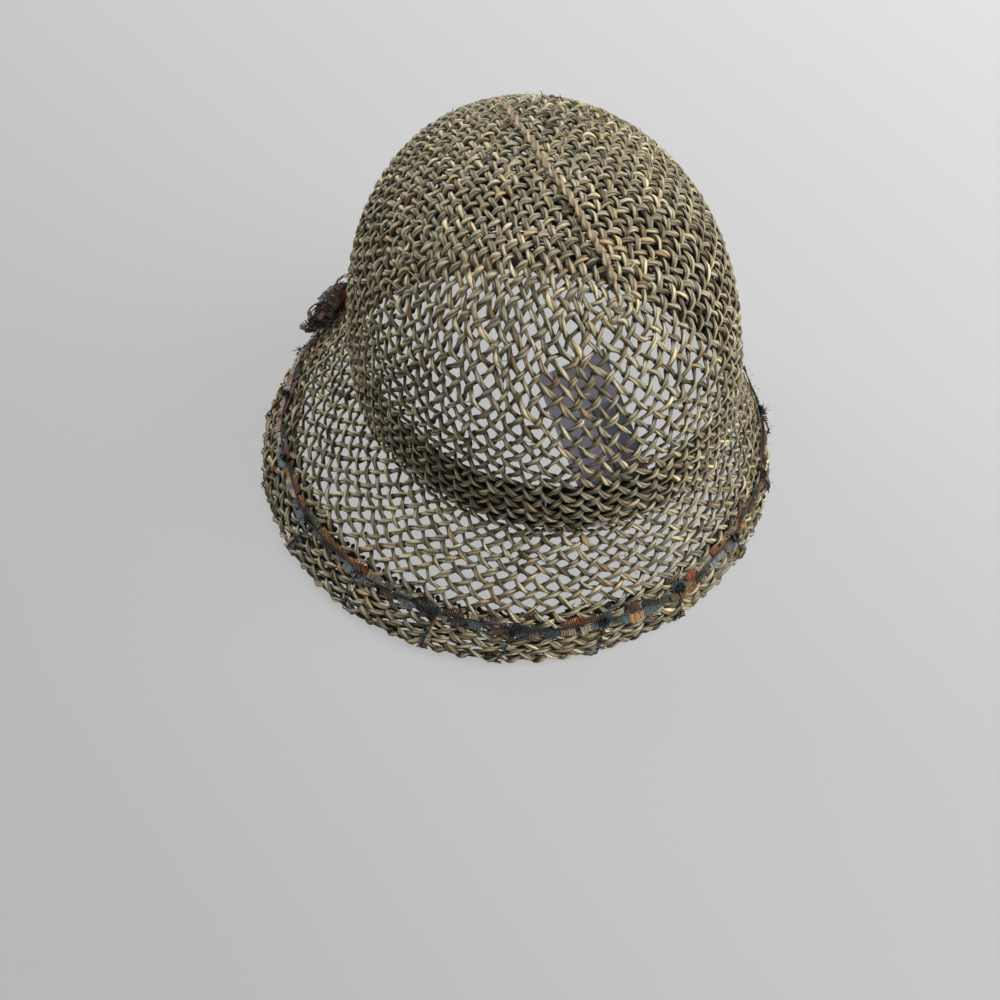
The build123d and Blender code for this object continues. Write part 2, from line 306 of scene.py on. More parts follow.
# ---- Mesh tools
class Bag:
    """Gathers many small shapes into one mesh, with a colour and a grain place at each point."""

    def __init__(self):
        self.points, self.quads, self.tint, self.grain, self.count = [], [], [], [], 0

    def add(self, points, quads, tint, grain=None):
        points = np.asarray(points, float).reshape(-1, 3)
        self.points.append(points)
        self.quads.append(np.asarray(quads, int).reshape(-1, 4) + self.count)
        self.tint.append(np.broadcast_to(np.asarray(tint, float), points.shape))
        self.grain.append(points * 1000 if grain is None else np.broadcast_to(grain, points.shape))
        self.count += len(points)

    def build(self, name, material, node, body="hat", smooth=True):
        """Makes the piece, which stands in for a CAD node. The slot has the material's name."""
        mesh = bpy.data.meshes.new(name)
        points = np.concatenate(self.points)
        mesh.from_pydata(points, [], np.concatenate(self.quads))
        mesh.polygons.foreach_set("use_smooth", np.full(len(mesh.polygons), smooth))
        tint = mesh.attributes.new("tint", "FLOAT_COLOR", "POINT")
        rgba = np.concatenate([np.concatenate(self.tint), np.ones((len(points), 1))], 1)
        tint.data.foreach_set("color", rgba.ravel())
        grain = mesh.attributes.new("grain", "FLOAT_VECTOR", "POINT")
        grain.data.foreach_set("vector", np.concatenate(self.grain).ravel())
        mesh.materials.append(material)
        piece = bpy.data.objects.new(name, mesh)
        bpy.context.scene.collection.objects.link(piece)
        if body:
            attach(piece, body)
        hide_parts(node)
        return piece


def unit(vectors):
    return vectors / np.maximum(np.linalg.norm(vectors, axis=-1, keepdims=True), 1e-12)


def grid_quads(rows, columns, join_rows=False, join_columns=True):
    """Quads between the points of a grid, row after row, with its last row or column joined to the
    first where asked."""
    row, column = np.meshgrid(np.arange(rows - 1 + join_rows), np.arange(columns - 1 + join_columns),
                              indexing="ij")
    here, there = row * columns, (row + 1) % rows * columns
    following = (column + 1) % columns
    quads = np.stack([here + column, here + following, there + following, there + column], -1)
    return quads.reshape(-1, 4)


def sweep(path, up, section, twist=None, scale=None):
    """Points and quads of a section swept along a path, capped at both ends. up leans the section,
    twist turns it and scale sizes it, each at every point of the path."""
    path = np.asarray(path, float)
    rings, sides = len(path), len(section)
    tangent = unit(np.gradient(path, axis=0))
    across = unit(np.cross(np.broadcast_to(up, path.shape), tangent))
    lift = np.cross(tangent, across)
    flat = np.broadcast_to(section, (rings, sides, 2)).copy()
    if twist is not None:
        cos, sin = np.cos(twist)[:, None], np.sin(twist)[:, None]
        flat = np.stack([
            flat[..., 0] * cos - flat[..., 1] * sin,
            flat[..., 0] * sin + flat[..., 1] * cos,
        ], -1)
    if scale is not None:
        flat = flat * np.asarray(scale)[:, None, :]
    points = (path[:, None] + flat[..., :1] * across[:, None] + flat[..., 1:] * lift[:, None])
    cap = np.array([(0, k + 2, k + 1, k) for k in range(1, sides - 2, 2)])
    last = (rings - 1) * sides + cap[:, ::-1]
    return points.reshape(-1, 3), np.concatenate([grid_quads(rings, sides), cap, last])


def round_section(radius, sides=6):
    turn = 2 * np.pi * np.arange(sides) / sides
    return radius * np.stack([np.cos(turn), np.sin(turn)], -1)


def spline(points, per_span, closed=False):
    """Catmull-Rom curve through points, for arrays of any width."""
    points = np.asarray(points, float)
    if closed:
        padded = np.concatenate([points[-1:], points, points[:2]])
    else:
        padded = np.concatenate([2 * points[:1] - points[1:2], points, 2 * points[-1:] - points[-2:-1]])
    spans = len(padded) - 3
    t = np.tile(np.arange(per_span) / per_span, spans)[:, None]
    index = np.repeat(np.arange(spans), per_span)
    a, b, c, d = (padded[index + k] for k in range(4))
    curve = 0.5 * (2 * b + (c - a) * t + (2 * a - 5 * b + 4 * c - d) * t ** 2
                   + (3 * b - a - 3 * c + d) * t ** 3)
    return curve if closed else np.concatenate([curve, padded[-2:-1]])


def run_length(path):
    """Distance along a path at each of its points."""
    return np.concatenate([[0], np.cumsum(np.linalg.norm(np.diff(path, axis=0), axis=1))])


def wander(rng, count, step, low, high):
    """Smooth random value along a run of count points, with a new aim every step points."""
    knots = rng.uniform(low, high, count // step + 4)
    return spline(knots[:, None], step)[:count, 0].clip(low, high)


def linear(red, green, blue):
    """Display colour in 0 to 255 as linear light."""
    return (np.array([red, green, blue]) / 255) ** 2.2


# ---- Materials
def add_node(tree, kind, inputs, **settings):
    """New shader node. Each input gets a value, or a link where it is given another node's output."""
    node = tree.nodes.new("ShaderNode" + kind)
    for name, value in settings.items():
        setattr(node, name, value)
    for name, value in inputs.items():
        if isinstance(value, bpy.types.NodeSocket):
            tree.links.new(value, node.inputs[name])
        else:
            node.inputs[name].default_value = value
    return node


def map_range(tree, value, low, high, start=0.0, end=1.0):
    """Output of a node that takes start to end of value to low to high."""
    inputs = {"Value": value, "From Min": start, "From Max": end, "To Min": low, "To Max": high}
    return add_node(tree, "MapRange", inputs).outputs["Result"]


def new_material(name, roughness, sheen=0.0, specular=0.35):
    material = bpy.data.materials.new(name)
    material.use_nodes = True
    shader = material.node_tree.nodes["Principled BSDF"]
    shader.inputs["Roughness"].default_value = roughness
    shader.inputs["Specular IOR Level"].default_value = specular
    shader.inputs["Sheen Weight"].default_value = sheen
    return material, material.node_tree, shader


def tinted_material(name, roughness, grain_scale, grain_stretch, contrast, bump, sheen=0.0,
                    specular=0.35, wear=0.0):
    """Colour from the tint attribute, with streaks along the grain, mottling and a fine bump."""
    material, tree, shader = new_material(name, roughness, sheen, specular)
    tint = add_node(tree, "Attribute", {}, attribute_name="tint").outputs["Vector"]
    grain = add_node(tree, "Attribute", {}, attribute_name="grain").outputs["Vector"]
    place = add_node(tree, "Mapping", {"Scale": grain_stretch, "Vector": grain}).outputs["Vector"]
    inputs = {"Scale": grain_scale, "Detail": 3, "Vector": place}
    streak = add_node(tree, "TexNoise", inputs).outputs["Fac"]
    mottle = add_node(tree, "TexNoise", {"Scale": 0.45, "Detail": 2, "Vector": grain}).outputs["Fac"]
    spread = map_range(tree, streak, 1 - contrast, 1 + contrast, 0.3, 0.7)
    aged = map_range(tree, mottle, 1 - wear, 1 + wear, 0.35, 0.65)
    both = add_node(tree, "Math", {0: spread, 1: aged}, operation="MULTIPLY").outputs["Value"]
    colour = add_node(tree, "VectorMath", {0: tint, "Scale": both}, operation="SCALE")
    inputs = {"Strength": bump, "Distance": 0.2 * MM, "Height": streak}
    relief = add_node(tree, "Bump", inputs)
    rough = map_range(tree, streak, roughness - 0.1, min(1.0, roughness + 0.15))
    tree.links.new(colour.outputs["Vector"], shader.inputs["Base Color"])
    tree.links.new(relief.outputs["Normal"], shader.inputs["Normal"])
    tree.links.new(rough, shader.inputs["Roughness"])
    return material


SEAGRASS = tinted_material("seagrass", 0.5, 1.9, (0.10, 2.6, 2.6), 0.5, 1.0, sheen=0.05, wear=0.12)
PALE_GRASS = tinted_material("pale_grass", 0.55, 1.9, (0.10, 2.2, 2.2), 0.22, 0.6, wear=0.1)
THREAD = tinted_material("black_thread", 0.8, 3.0, (1, 1, 1), 0.3, 0.4, sheen=0.2, specular=0.2)
LADDER = tinted_material("ladder_yarn", 0.42, 2.2, (1, 1, 1), 0.2, 0.3, sheen=0.15, specular=0.45,
                         wear=0.12)
GROSGRAIN = tinted_material("grosgrain", 0.6, 2.6, (1, 1, 1), 0.2, 0.3, sheen=0.2, wear=0.1)
SATIN = tinted_material("satin", 0.38, 3.2, (1, 1, 0.15), 0.06, 0.25, sheen=0.1, specular=0.5,
                        wear=0.03)


# ---- Woven body: every strand is a flattened twist of three split blades, going over and under
GRASS_TINTS = [
    (linear(178, 169, 141), 0.28),  # grey khaki
    (linear(156, 147, 119), 0.22),
    (linear(202, 190, 156), 0.20),
    (linear(230, 212, 168), 0.12),  # cream
    (linear(190, 165, 122), 0.09),  # tan
    (linear(144, 119, 90), 0.05),  # brown
    (linear(104, 96, 72), 0.04),  # dark olive
]
STEPS = 5  # rings along a strand in each cell
WAVE = 0.95 * MM  # how far a strand rises and dips
STRAND_THICK = 0.78 * MM  # half thickness
TWIST_PITCH = 26 * MM
RUNS = (34, 46, 58)  # rings between one blade's end and the next, for the three blades
STRANDS_PER_PIECE = 10
LOOSE_ENDS, LOOSE_LOW = 30, 9 * MM  # in each piece, and how low they start
# Sections of a strand of three blades and of a flat pair: turns, reaches, shades (painted shade in the
# grooves between blades) and blade numbers
PLY_TURNS = np.radians([0, 38, 60, 82, 120, 158, 180, 202, 240, 278, 300, 322])
PLY_REACH = np.array([1.04, 0.93, 0.56, 0.93] * 3)
PLY_SHADE = np.array([1.0, 0.95, 0.25, 0.95] * 3)
PLY_OWNER = np.array([0, 0, 1, 1, 1, 1, 2, 2, 2, 2, 0, 0])
PLIES = PLY_REACH[:, None] * np.stack([np.cos(PLY_TURNS), np.sin(PLY_TURNS)], -1)
FLAT_TURNS = np.radians([0, 40, 70, 90, 110, 140, 180, 220, 250, 270, 290, 320])
FLAT_REACH = np.array([1.0, 0.92, 0.76, 0.62, 0.76, 0.92] * 2)
FLAT_PLY = FLAT_REACH[:, None] * np.stack([np.cos(FLAT_TURNS), np.sin(FLAT_TURNS)], -1)
FLAT_SHADE = np.array([1.0, 1.0, 0.95, 0.55, 0.95, 1.0] * 2)


def grass_grain(length, section, start=0.0):
    """Grain places of a strand: the distance along it, then the place in its section."""
    grain = np.empty((len(length), len(section), 3))
    grain[..., 0] = (length / MM)[:, None] + start
    grain[..., 1:] = section[None] * 1.3
    return grain.reshape(-1, 3)


def pick_tints(rng, count, run):
    """Colour at each of count rings, changing where one blade of grass gives way to the next."""
    colours = np.array([tint for tint, _ in GRASS_TINTS])
    odds = np.array([odd for _, odd in GRASS_TINTS])
    picks = colours[rng.choice(len(colours), count // run + 2, p=odds / odds.sum())]
    picks = picks * rng.uniform(0.72, 1.18, (len(picks), 1))
    start = rng.uniform(0, run)
    place = (np.arange(count) + start) / run
    low = place.astype(int)
    blend = np.clip((place - low - 0.85) / 0.15, 0, 1)[:, None]
    return picks[low] * (1 - blend) + picks[np.minimum(low + 1, len(picks) - 1)] * blend


def add_strand(bag, number, uv, over):
    rng = np.random.default_rng(RANDOM_SEED * 1000 + number)
    track = spline(uv, STEPS)
    count = len(track)
    point, normal, _, _ = weave_frame(track)
    cell = np.arange(count) / STEPS
    before = np.minimum(cell.astype(int), len(over) - 1)
    after = np.minimum(before + 1, len(over) - 1)
    mix = (1 - np.cos(np.pi * (cell - before))) / 2
    side = np.where(over, 1.0, -1.0)
    rise = side[before] * (1 - mix) + side[after] * mix
    lift = WAVE * rise * wander(rng, count, 4, 0.86, 1.1)
    sideways = unit(np.cross(normal, np.gradient(point, axis=0)))
    path = point + normal * lift[:, None] + sideways * wander(rng, count, 7, -0.4, 0.4)[:, None] * MM
    length = run_length(path)
    twist = 2 * np.pi * length / TWIST_PITCH + rng.uniform(0, 6) + wander(rng, count, 12, -0.9, 0.9)
    full = wander(rng, count, 8, 0.72, 1.2) * rng.uniform(0.88, 1.08)
    reach = np.hypot(track[:, 0], track[:, 1])
    waist = np.interp(reach, [60 * MM, 110 * MM], [0.09, 0.17])
    lens = 1 - waist * (1 - np.cos(2 * np.pi * cell))
    scale = np.stack([STRAND_WIDE / 2 * full * lens, STRAND_THICK * full ** 0.5], -1)
    scale[0] *= 0.5
    scale[-1] *= 0.5
    points, quads = sweep(path, normal, PLIES, twist, scale)
    tracks = np.stack([pick_tints(rng, count, run) for run in RUNS], 1)
    # Painted light and shade: the grooves between blades are darkened, faces turned outward are lightened,
    # faces turned sideways or inward are darkened, and the strand is darker where it dips under its
    # neighbours. The last factor is a random tone along the strand.
    tint = tracks[:, PLY_OWNER] * PLY_SHADE[None, :, None]
    facing = PLY_REACH * np.sin(PLY_TURNS + twist[:, None])
    painted_shading = np.interp(facing, [-0.9, 0.1, 1.0], [0.16, 0.66, 1.16])
    painted_shading = painted_shading * np.interp(rise, [-1, 0.3], [0.4, 1])[:, None]
    tint = tint * (painted_shading * wander(rng, count, 5, 0.88, 1.12)[:, None])[..., None]
    bag.add(points, quads, tint.reshape(-1, 3), grass_grain(length, PLIES, number * 731.0))


def add_loose_ends(bag, rng, points, normals):
    """Short dry ends of grass that stand a little off the weave, clear of the edge."""
    colours = [tint for tint, _ in GRASS_TINTS[:5]]
    clear = np.nonzero(points[:, 2] > LOOSE_LOW)[0]
    for place in rng.choice(clear, LOOSE_ENDS):
        normal = normals[place]
        along = unit(np.cross(normal, rng.standard_normal(3)))
        bend = np.cross(normal, along) * rng.uniform(-1.2, 1.2)
        size = rng.uniform(2.5, 6.5)
        start = points[place] + normal * 0.9 * MM
        path = spline([start, start + (along * 0.5 * size + bend * 0.3 + normal * 0.4) * MM,
                       start + (along * size + bend + normal * rng.uniform(0.3, 1.6)) * MM], 4)
        taper = np.linspace(1, 0.35, len(path))[:, None] * np.array([[0.42, 0.14]]) * MM
        bag.add(*sweep(path, normal, FLAT_PLY, rng.uniform(-0.8, 0.8, len(path)), taper),
                colours[rng.integers(len(colours))] * rng.uniform(0.7, 1.1))


def make_weave():
    top, side, uv = build_crossings()
    strands = build_strands(top, side)
    bottom = np.zeros(len(uv), bool)
    bottom[[index for (_, row), index in side.items() if row == ROWS]] = True
    uv = relax_net(turn_flat(uv, TOP_TURN), strands, bottom)
    points, normals, _, _ = weave_frame(uv)
    pieces = []
    rng = np.random.default_rng(RANDOM_SEED + 9)
    for first in range(0, len(strands), STRANDS_PER_PIECE):
        bag = Bag()
        for number in range(first, min(first + STRANDS_PER_PIECE, len(strands))):
            path, over = strands[number]
            add_strand(bag, number, uv[path], over)
        add_loose_ends(bag, rng, points, normals)
        name = f"weave_strands_{len(pieces) + 1}"
        pieces.append(bag.build(name, SEAGRASS, "woven_body"))
    return pieces


weave_pieces = make_weave()


# ---- Pale strand and thread end on the crown
def crown_point(azimuth, z, inset):
    """Points of the crown shrunk by inset, at each azimuth and height."""
    rise = np.clip((z - CROWN_FOOT) / (CROWN_RISE - inset), 0, 1)
    share = (1 - rise ** CROWN_POWER) ** (1 / CROWN_POWER)
    half = share[:, None] * (CROWN_HALF - np.broadcast_to(inset, z.shape)[:, None])
    return on_oval(half, CROWN_CENTRE, azimuth, z)


def over_crown(reach, azimuth, outset):
    """Points above the crown at level distances from its middle."""
    turn = np.radians(azimuth)
    flat = np.stack([reach * np.cos(turn), reach * np.sin(turn)], -1)
    share = np.hypot(*(flat / (CROWN_HALF + outset)).T)
    z = CROWN_FOOT + (CROWN_RISE + outset) * (1 - share ** CROWN_POWER) ** (1 / CROWN_POWER)
    return np.column_stack([CROWN_CENTRE + flat, z])


STRAND_START, STRAND_END = -50 * MM, 68 * MM  # level reach of the pale strand
FRONT_AZIMUTH, STRAND_AZIMUTH = 92, 98  # its line ahead of the crown's top and behind it
THREAD_REACH, THREAD_AZIMUTH, THREAD_LENGTH = 35 * MM, 250, 7.5 * MM


def make_pale_strand():
    rng = np.random.default_rng(RANDOM_SEED + 1)
    count = 240
    reach = np.linspace(STRAND_START, STRAND_END, count)
    azimuth = np.interp(reach, [-8 * MM, 8 * MM], [FRONT_AZIMUTH, STRAND_AZIMUTH])
    path = over_crown(reach, azimuth, 1.1 * MM)
    turn = math.radians(STRAND_AZIMUTH)
    sideways = np.array([-math.sin(turn), math.cos(turn), 0])
    path = path + sideways * wander(rng, count, 24, -0.7, 0.7)[:, None] * MM
    path[:, 2] += wander(rng, count, 12, -0.25, 0.35) * MM
    up = unit(path - np.array([*CROWN_CENTRE, CROWN_FOOT]))
    length = run_length(path)
    twist = 2 * np.pi * length / (11.5 * MM)
    ends = np.clip(np.minimum(length, length[-1] - length) / (3 * MM), 0.3, 1)
    scale = np.stack([1.75 * MM * ends, 1.05 * MM * ends], -1)
    points, quads = sweep(path, up, FLAT_PLY * [1, 0.4], twist, scale)
    left = linear(194, 172, 140) * wander(rng, count, 20, 0.85, 1.1)[:, None]
    right = linear(176, 154, 124) * wander(rng, count, 20, 0.85, 1.15)[:, None]
    is_left = np.abs(np.degrees(FLAT_TURNS) % 360 - 180) > 90
    tint = np.where(is_left[None, :, None], left[:, None], right[:, None])
    # Painted shade along the crease down the middle of each face of the flat strand.
    tint = tint * FLAT_SHADE[None, :, None]
    bag = Bag()
    bag.add(points, quads, tint.reshape(-1, 3), grass_grain(length, FLAT_PLY))
    bag.build("pale_strand", PALE_GRASS, "crown_pale_strand")


def make_thread_end():
    foot = over_crown(np.array([THREAD_REACH]), THREAD_AZIMUTH, 0.2 * MM)[0]
    turn = math.radians(THREAD_AZIMUTH)
    lean = unit(np.array([math.cos(turn), math.sin(turn), 2.5]))
    bend = np.array([-math.sin(turn), math.cos(turn), 0])
    points = [foot + lean * THREAD_LENGTH * t + bend * 0.5 * MM * math.sin(7 * t)
              for t in np.linspace(0, 1, 6)]
    path = spline(points, 5)
    bag = Bag()
    bag.add(*sweep(path, bend, round_section(0.16 * MM, 8)), linear(34, 32, 30))
    bag.build("thread_end", THREAD, "crown_thread_end")


# ---- Ladder yarn: two black rails with flat coloured rungs between them
YARN_TINTS = [
    linear(158, 82, 46),  # rust
    linear(176, 122, 58),  # amber
    linear(118, 128, 132),  # grey blue
    linear(64, 82, 84),  # dark teal
    linear(122, 104, 106),  # mauve grey
    linear(104, 74, 56),  # brown
    linear(186, 170, 140),  # cream
    linear(118, 122, 102),  # grey green
    linear(58, 46, 42),  # near black
    linear(104, 74, 56),  # brown again, as it comes up most
]
RAIL_TINT = linear(26, 25, 27)
RAIL_RADIUS = 0.17 * MM
RUNG_PITCH = 0.95 * MM
BOX_CORNERS = np.array([(x, y, z) for x in (-1, 1) for y in (-1, 1) for z in (-1, 1)], float)
BOX_QUADS = np.array([(0, 1, 3, 2), (4, 6, 7, 5), (0, 4, 5, 1), (2, 3, 7, 6), (0, 2, 6, 4),
                      (1, 5, 7, 3)])


def even_path(path, pitch):
    """The same path with points a pitch apart."""
    length = run_length(path)
    places = np.linspace(0, length[-1], max(4, int(length[-1] / pitch)))
    return np.stack([np.interp(places, length, path[:, axis]) for axis in range(3)], -1)


def add_boxes(bag, centre, across, along, lift, half, tint):
    """One thin box at each centre. half holds its half sizes along those three directions."""
    corners = centre[:, None] + (
        BOX_CORNERS[None, :, :1] * (across * half[:, :1])[:, None]
        + BOX_CORNERS[None, :, 1:2] * (along * half[:, 1:2])[:, None]
        + BOX_CORNERS[None, :, 2:] * (lift * half[:, 2:])[:, None]
    )
    quads = BOX_QUADS[None] + 8 * np.arange(len(centre))[:, None, None]
    bag.add(corners.reshape(-1, 3), quads, np.repeat(tint, 8, axis=0))


def coloured_runs(rng, count, run, cover):
    """Colour, and whether there are rungs, at each of count places along one side of the yarn."""
    tint, shown, start = np.zeros((count, 3)), np.zeros(count, bool), 0
    while start < count:
        length = int(rng.integers(*run))
        tint[start:start + length] = YARN_TINTS[rng.integers(len(YARN_TINTS))] * rng.uniform(0.75, 1.2)
        shown[start:start + length] = rng.random() < cover
        start += length + int(rng.integers(0, 3))
    return tint * rng.uniform(0.62, 1.05, (count, 1)), shown


def add_ladder(bag, rng, path, up, width=5.0 * MM, cover=0.85, swing=0.5, run=(3, 9), threads=2):
    """A length of ladder yarn along path, flat to up. Fine rungs reach out to each side of its dark
    threads in coloured runs, and each side folds a little by itself."""
    path = even_path(np.asarray(path, float), RUNG_PITCH)
    count = len(path)
    tangent = unit(np.gradient(path, axis=0))
    if np.ndim(up) == 1:
        up = np.broadcast_to(up, path.shape)
    else:
        place, source = np.linspace(0, 1, count), np.linspace(0, 1, len(up))
        up = np.stack([np.interp(place, source, up[:, axis]) for axis in range(3)], -1)
    side = unit(np.cross(up, tangent))
    top = np.cross(tangent, side)
    for _ in range(threads):
        drift = wander(rng, count, 7, -0.22, 0.22)[:, None] * width / 2
        rise = wander(rng, count, 6, 0.1, 0.5)[:, None] * MM
        points, quads = sweep(path + side * drift + top * rise, side, round_section(RAIL_RADIUS, 6))
        bag.add(points, quads, RAIL_TINT * rng.uniform(0.8, 1.3))
    for sign in (-1, 1):
        tint, shown = coloured_runs(rng, count, run, cover)
        fold = wander(rng, count, 9, -0.15, 1.0)[:, None] * swing
        across = sign * side * np.cos(fold) + top * np.sin(fold)
        lift = np.cross(tangent, across)
        reach = width / 2 * wander(rng, count, 6, 0.55, 1.15) * rng.uniform(0.9, 1.06, count)
        skew = tangent * wander(rng, count, 8, -0.3, 0.3)[:, None]
        way = unit(across + skew + rng.normal(0, 0.03, (count, 3)))
        centre = path + way * (reach / 2)[:, None]
        half = np.stack([reach / 2, rng.uniform(0.27, 0.4, count) * MM, np.full(count, 0.1 * MM)], -1)
        add_boxes(bag, centre[shown], way[shown], tangent[shown], lift[shown], half[shown], tint[shown])


def brim_frame(azimuth, z):
    """Point on the brim's outer face with the directions round it, up it and out of it."""
    step = math.radians(0.5)
    around = np.array([azimuth - step, azimuth + step])
    before, after = outer_point(around, np.array([z, z]))
    below, above = outer_point(np.array([azimuth, azimuth]), np.array([z - 0.5 * MM, z + 0.5 * MM]))
    across, up = unit(after - before), unit(above - below)
    out = unit(np.cross(across, up))
    return (below + above) / 2, across, np.cross(out, across), out


def in_frame(brim, local):
    """Points given across, up and out of a frame, in the hat's own directions."""
    origin, across, up, out = brim
    local = np.asarray(local, float)
    return origin + local[..., :1] * across + local[..., 1:2] * up + local[..., 2:] * out


def add_fuzz(bag, rng, middle, spread, count, length):
    """Short fine fibres that stick out of a thread."""
    for _ in range(count):
        way = unit(rng.standard_normal(3))
        start = middle + rng.standard_normal(3) * spread
        bend = rng.standard_normal(3) * length * 0.2
        path = spline([start, start + way * length * 0.5 + bend, start + way * length], 3)
        bag.add(*sweep(path, unit(np.cross(way, rng.standard_normal(3))), round_section(0.07 * MM, 4)),
                RAIL_TINT)


def add_tangle(bag, rng, brim, radius, height, loops):
    """A knot: thread wound round and through itself, flattened on the brim."""
    for _ in range(loops):
        tilt = rng.uniform(0, 2 * np.pi)
        lean = rng.uniform(-0.9, 0.9)
        turn = np.linspace(0, 2 * np.pi, 9)[:-1]
        ring = radius * rng.uniform(0.55, 1.0) * np.stack([
            np.cos(turn), np.sin(turn) * math.cos(lean), np.sin(turn) * math.sin(lean)], -1)
        ring = ring + rng.normal(0, 0.18, ring.shape) * radius
        ring = turn_flat(ring, tilt)
        ring[:, 2] = ring[:, 2] * 0.75 + height
        path = in_frame(brim, spline(ring, 4, closed=True))
        path = np.concatenate([path, path[:2]])
        bag.add(*sweep(path, brim[3], round_section(0.24 * MM, 6)), RAIL_TINT * rng.uniform(0.8, 1.4))


STITCHES = [(13 + 360 * index / 19) % 360 for index in range(19)]  # azimuths
TRIM_HEIGHT = 14 * MM  # running yarn above the edge
TRIM_OUT = 0.9 * MM  # and off the brim
KNOT_RADIUS = 1.7 * MM
ROSETTE_AZIMUTH = 311
ROSETTE_HEIGHT = 23 * MM
ROSETTE_CLEAR = 15  # degrees on each side of the rosette without knots
OPEN_STITCHES = [turn for turn in STITCHES if abs(turn - ROSETTE_AZIMUTH) > ROSETTE_CLEAR]


def make_running_yarn():
    rng = np.random.default_rng(RANDOM_SEED + 2)
    waves, per_wave = 40, 35
    count = waves * per_wave
    azimuth = np.linspace(0, 2 * np.pi, count)
    sway = spline(rng.uniform(-1, 1, (waves, 1)), per_wave, closed=True)[:, 0] * 0.8 * MM
    round_trip = np.linspace(0, 2 * np.pi, count + 1)
    height = TRIM_HEIGHT + np.interp(azimuth, round_trip, [*sway, sway[0]])
    face = outer_point(azimuth, height)
    around = np.roll(face, -2, 0) - np.roll(face, 2, 0)
    around[:2], around[-2:] = around[2], around[-3]
    uphill = outer_point(azimuth, height + MM) - outer_point(azimuth, height - MM)
    out = unit(np.cross(around, uphill))
    bag = Bag()
    add_ladder(bag, rng, face + out * TRIM_OUT, out, width=8.0 * MM, cover=0.92, run=(4, 11), threads=4)
    for place in np.linspace(0, count - 1, 150).astype(int):
        add_fuzz(bag, rng, face[place] + out[place] * 1.3 * MM, 0.9 * MM, 3, 2.2 * MM)
    bag.build("running_yarn", LADDER, "trim_running_yarn", smooth=False)


def make_edge_legs():
    """Yarn from each knot down round the rolled edge and up inside the turned-in part."""
    rng = np.random.default_rng(RANDOM_SEED + 3)
    bag = Bag()
    upright = np.array([0, 0, 1])
    wrap = np.radians([0, 30, 60, 90, 120, 150, 180])[:, None]
    for azimuth in STITCHES:
        turn = math.radians(azimuth + rng.uniform(-1.2, 1.2))
        lean = math.radians(rng.uniform(-1.6, 1.6))
        outside = [outer_point(np.array([turn + lean * (1 - z / 13)]), np.array([z * MM]), 0.7 * MM)[0]
                   for z in (13, 9.5, 6.5)]
        origin, across, up, out = brim_frame(turn + lean, EDGE_ROUND)
        outward = unit(out * [1, 1, 0])
        middle = origin - outward * EDGE_ROUND
        reach = EDGE_ROUND + 0.35 * MM
        around = middle + reach * (np.cos(wrap) * outward - np.sin(wrap) * upright)
        inside = [around[-1] + upright * rise * MM for rise in (2.5, 5.5)]
        path = spline([*outside, *around, *inside], 5)
        core = middle + upright * np.maximum(path[:, 2:] - middle[2], 0)
        facing = unit(path - core)
        add_ladder(bag, rng, path[:32], facing[:32], width=5.6 * MM, cover=0.78, swing=0.35, run=(3, 8))
        for shift in (-0.5, 0.5):
            bag.add(*sweep(path[24:] + across * shift * MM, across, round_section(0.17 * MM, 6)),
                    RAIL_TINT)
        if rng.random() < 0.15:
            add_star(bag, rng, (origin + up * 2.5 * MM, across, up, out))
        add_fuzz(bag, rng, origin + up * 3 * MM + out * MM, 0.8 * MM, 8, 1.8 * MM)
    bag.build("edge_legs", LADDER, "trim_edge_legs", smooth=False)


def add_star(bag, rng, brim):
    """Cut rungs that fan out past the brim's edge."""
    colour = YARN_TINTS[rng.integers(len(YARN_TINTS))]
    count = int(rng.integers(4, 8))
    turns = rng.uniform(0, 2 * np.pi, count)
    for turn in turns:
        way = in_frame((0 * brim[0], *brim[1:]), np.array([math.cos(turn), math.sin(turn) * 0.8,
                                                          rng.uniform(0.1, 0.8)]))
        way = unit(way)
        size = rng.uniform(1.2, 2.2) * MM
        side = unit(np.cross(way, brim[3] + 0.1))
        centre = brim[0] + brim[3] * 1.2 * MM + way * size * 0.8
        half = np.array([[size, 0.55 * MM, 0.1 * MM]])
        add_boxes(bag, centre[None], way[None], side[None], np.cross(way, side)[None], half,
                  (colour * rng.uniform(0.8, 1.2))[None])


def make_knots():
    rng = np.random.default_rng(RANDOM_SEED + 4)
    bag = Bag()
    for azimuth in OPEN_STITCHES:
        brim = brim_frame(math.radians(azimuth), TRIM_HEIGHT)
        add_tangle(bag, rng, brim, KNOT_RADIUS * 1.1, 2.6 * MM, 7)
        add_fuzz(bag, rng, in_frame(brim, np.array([0, 0, 2.6 * MM])), 0.8 * MM, 22, 2.6 * MM)
        if rng.random() < 0.5:
            shift = np.array([rng.uniform(-2, 2), rng.uniform(-1, 2), 1.0]) * MM
            add_star(bag, rng, (in_frame(brim, shift), *brim[1:]))
    bag.build("trim_knots_wound", LADDER, "trim_knots", smooth=False)


def make_tails():
    rng = np.random.default_rng(RANDOM_SEED + 5)
    bag = Bag()
    for azimuth in OPEN_STITCHES[::3]:
        brim = brim_frame(math.radians(azimuth), TRIM_HEIGHT + 3.5 * MM)
        points = in_frame(brim, np.array([(2.0, 0.6, 1.2), (4.2, 2.0, 1.5), (6.8, 4.2, 2.2)]) * MM)
        add_ladder(bag, rng, spline(points, 6), brim[3], width=3.4 * MM, cover=1, swing=0.4)
    bag.build("yarn_tails", LADDER, "trim_yarn_tails", smooth=False)


# ---- Rosette
def turned(points, turn):
    return turn_flat(np.asarray(points, float) * MM, turn)


